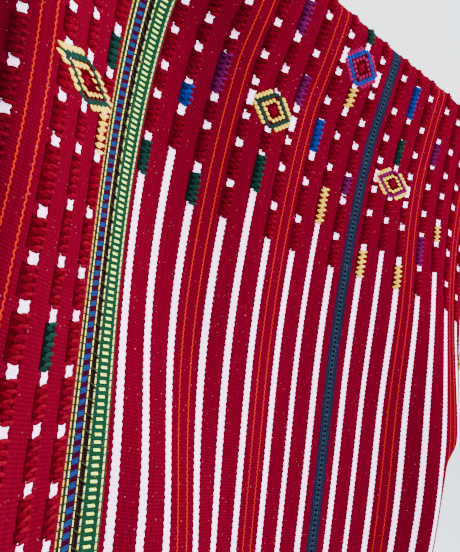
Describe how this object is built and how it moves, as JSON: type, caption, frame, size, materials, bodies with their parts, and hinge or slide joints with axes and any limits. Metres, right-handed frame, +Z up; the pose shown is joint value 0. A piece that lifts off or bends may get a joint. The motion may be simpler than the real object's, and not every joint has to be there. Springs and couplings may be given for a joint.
{
  "type": "huipil blouse on a hanger",
  "caption": "Loose square-cut blouse of striped, brocaded loom-woven strips with an oval neck, hung on a plain wooden hanger with a wire hook.",
  "frame": {"origin": "inner top of the hanger's hook, where it rests on a rod", "axes": "+X towards the wearer's left, -Y out of the blouse's front, +Z up"},
  "size_m": [0.6584, 0.1618, 0.7258],
  "materials": {
    "centre_cloth": "ribbed cotton weave, matt",
    "side_cloth": "ribbed cotton weave, matt",
    "hanger_wood": "clear satin varnish",
    "hook_steel": "polished wire"
  },
  "bodies": {
    "root": {"centre_panel": "centre_cloth", "side_panel_left": "side_cloth", "side_panel_right": "side_cloth", "hanger_arms": "hanger_wood", "hanger_hook": "hook_steel"}
  },
  "joints": []
}
